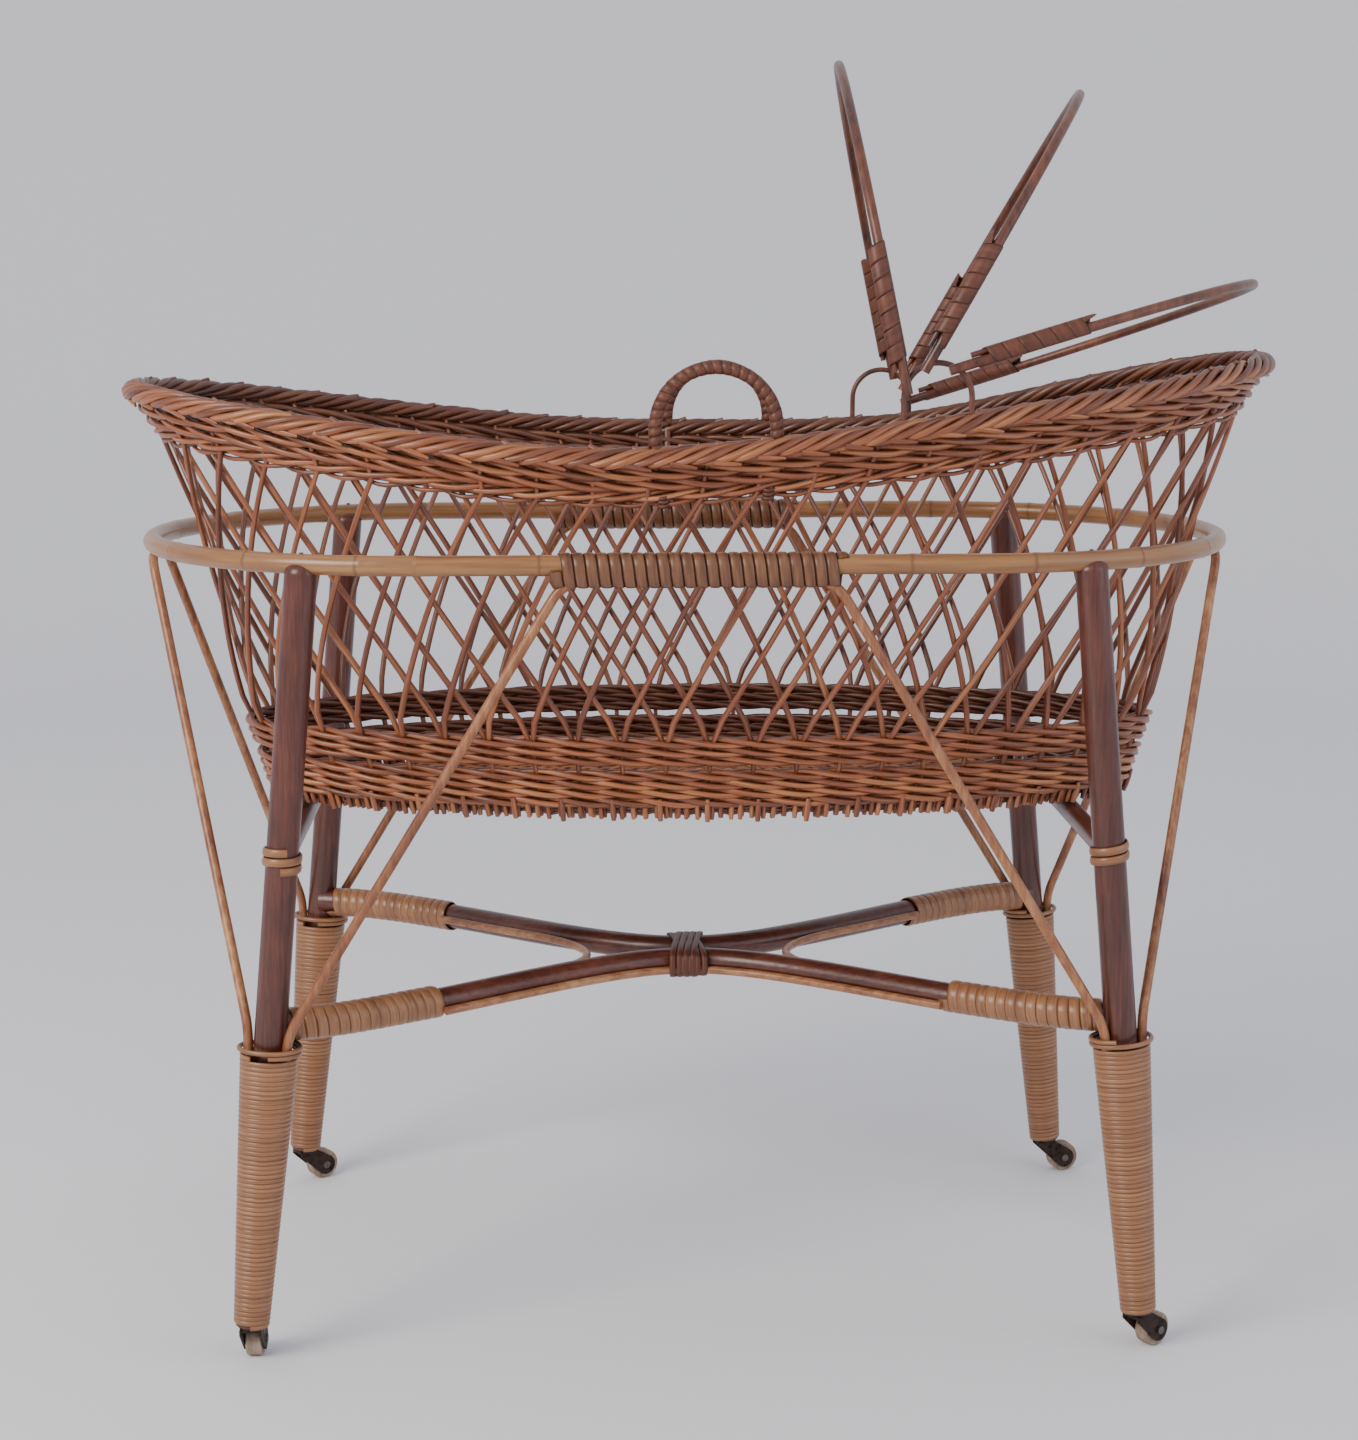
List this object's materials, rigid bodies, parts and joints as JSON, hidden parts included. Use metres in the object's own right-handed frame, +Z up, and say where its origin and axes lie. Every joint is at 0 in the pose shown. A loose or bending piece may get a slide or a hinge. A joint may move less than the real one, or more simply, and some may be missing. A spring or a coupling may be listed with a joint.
{
  "type": "bassinet on stand",
  "caption": "Oval wicker bassinet basket with hood hoops and carrying handles, resting in a rattan stand with braced legs, a bound rail and small casters.",
  "frame": {"origin": "on the floor under the middle of the basket", "axes": "+X toward the head end, where the hood is, along the basket's length; +Y from front to back across it; +Z up"},
  "size_m": [0.9847, 0.4904, 1.05],
  "materials": {
    "weave_willow": "varnished buff willow rods, woven",
    "stake_willow": "varnished willow rods",
    "border_willow": "varnished willow, plaited border",
    "pole_rattan": "red-brown stained rattan pole, varnished",
    "ring_rattan": "honey rattan pole with natural skin, varnished",
    "brace_rattan": "pale thin rattan rod, varnished",
    "wound_cane": "split cane, wound and varnished",
    "hoop_cane": "dark varnished cane rod",
    "caster_iron": "stamped iron with dark brown patina",
    "wheel_wood": "hard wood wheel, worn pale on the tread",
    "nail_steel": "small dull steel nails"
  },
  "bodies": {
    "stand": {"support_ring": "ring_rattan", "leg_front_left": "pole_rattan", "leg_front_right": "pole_rattan", "leg_back_left": "pole_rattan", "leg_back_right": "pole_rattan", "stretcher_front": "pole_rattan", "side_brace_front": "brace_rattan", "stretcher_back": "pole_rattan", "side_brace_back": "brace_rattan", "cradle_bar_foot": "pole_rattan", "end_brace_foot": "brace_rattan", "cradle_bar_head": "pole_rattan", "end_brace_head": "brace_rattan", "ring_bindings": "wound_cane", "leg_wraps": "wound_cane", "knuckle_ties": "wound_cane", "cradle_ties": "wound_cane", "stretcher_sleeves": "wound_cane", "ring_nails": "nail_steel", "crotch_rods": "brace_rattan", "stretcher_lashing": "wound_cane", "caster_sockets": "caster_iron"},
    "basket": {"base_sticks": "stake_willow", "base_mat": "weave_willow", "base_border": "border_willow", "lower_weave": "weave_willow", "stakes_leaning_foot": "stake_willow", "stakes_leaning_head": "stake_willow", "upper_weave": "weave_willow", "rim_border": "border_willow", "handle_core_front": "hoop_cane", "handle_core_back": "hoop_cane", "handle_wrap_front": "wound_cane", "handle_wrap_back": "wound_cane", "hood_loops": "hoop_cane"},
    "hoop_high": {"hoop_high_bow": "hoop_cane", "hoop_high_splints": "hoop_cane", "hoop_high_bindings": "wound_cane"},
    "hoop_mid": {"hoop_mid_bow": "hoop_cane", "hoop_mid_splints": "hoop_cane", "hoop_mid_bindings": "wound_cane"},
    "hoop_low": {"hoop_low_bow": "hoop_cane", "hoop_low_splints": "hoop_cane", "hoop_low_bindings": "wound_cane"},
    "caster_front_left": {"caster_fork_front_left": "caster_iron", "caster_axle_front_left": "caster_iron"},
    "wheel_front_left": {"caster_wheel_front_left": "wheel_wood"},
    "caster_front_right": {"caster_fork_front_right": "caster_iron", "caster_axle_front_right": "caster_iron"},
    "wheel_front_right": {"caster_wheel_front_right": "wheel_wood"},
    "caster_back_left": {"caster_fork_back_left": "caster_iron", "caster_axle_back_left": "caster_iron"},
    "wheel_back_left": {"caster_wheel_back_left": "wheel_wood"},
    "caster_back_right": {"caster_fork_back_right": "caster_iron", "caster_axle_back_right": "caster_iron"},
    "wheel_back_right": {"caster_wheel_back_right": "wheel_wood"}
  },
  "joints": [
    {"name": "basket_lift", "type": "slide", "parent": "stand", "child": "basket", "axis": [0, 0, 1], "range_m": [0, 0.27]},
    {"name": "hoop_high_turn", "type": "hinge", "parent": "basket", "child": "hoop_high", "pos_m": [0.16819, 0, 0.78621], "axis": [0.0949, 0.9954, -0.0154], "range_deg": [-34, 12]},
    {"name": "hoop_mid_turn", "type": "hinge", "parent": "basket", "child": "hoop_mid", "pos_m": [0.18285, 0, 0.78887], "axis": [0.0832, 0.9935, -0.078], "range_deg": [-15, 15]},
    {"name": "hoop_low_turn", "type": "hinge", "parent": "basket", "child": "hoop_low", "pos_m": [0.19586, 0, 0.77941], "axis": [0.0393, 0.9936, -0.106], "range_deg": [-12, 6]},
    {"name": "caster_front_left_swivel", "type": "hinge", "parent": "stand", "child": "caster_front_left", "pos_m": [-0.376, -0.219, 0.031], "axis": [0, 0, 1], "continuous": true},
    {"name": "wheel_front_left_roll", "type": "hinge", "parent": "caster_front_left", "child": "wheel_front_left", "pos_m": [-0.37537, -0.20101, 0.014], "axis": [0.9994, -0.0349, 0], "continuous": true},
    {"name": "caster_front_right_swivel", "type": "hinge", "parent": "stand", "child": "caster_front_right", "pos_m": [0.35, -0.219, 0.031], "axis": [0, 0, 1], "continuous": true},
    {"name": "wheel_front_right_roll", "type": "hinge", "parent": "caster_front_right", "child": "wheel_front_right", "pos_m": [0.36418, -0.20792, 0.014], "axis": [0.6157, -0.788, 0], "continuous": true},
    {"name": "caster_back_left_swivel", "type": "hinge", "parent": "stand", "child": "caster_back_left", "pos_m": [-0.376, 0.219, 0.031], "axis": [0, 0, 1], "continuous": true},
    {"name": "wheel_back_left_roll", "type": "hinge", "parent": "caster_back_left", "child": "wheel_back_left", "pos_m": [-0.36125, 0.22932, 0.014], "axis": [0.5736, -0.8192, 0], "continuous": true},
    {"name": "caster_back_right_swivel", "type": "hinge", "parent": "stand", "child": "caster_back_right", "pos_m": [0.35, 0.219, 0.031], "axis": [0, 0, 1], "continuous": true},
    {"name": "wheel_back_right_roll", "type": "hinge", "parent": "caster_back_right", "child": "wheel_back_right", "pos_m": [0.36761, 0.22274, 0.014], "axis": [0.2079, -0.9781, 0], "continuous": true}
  ]
}
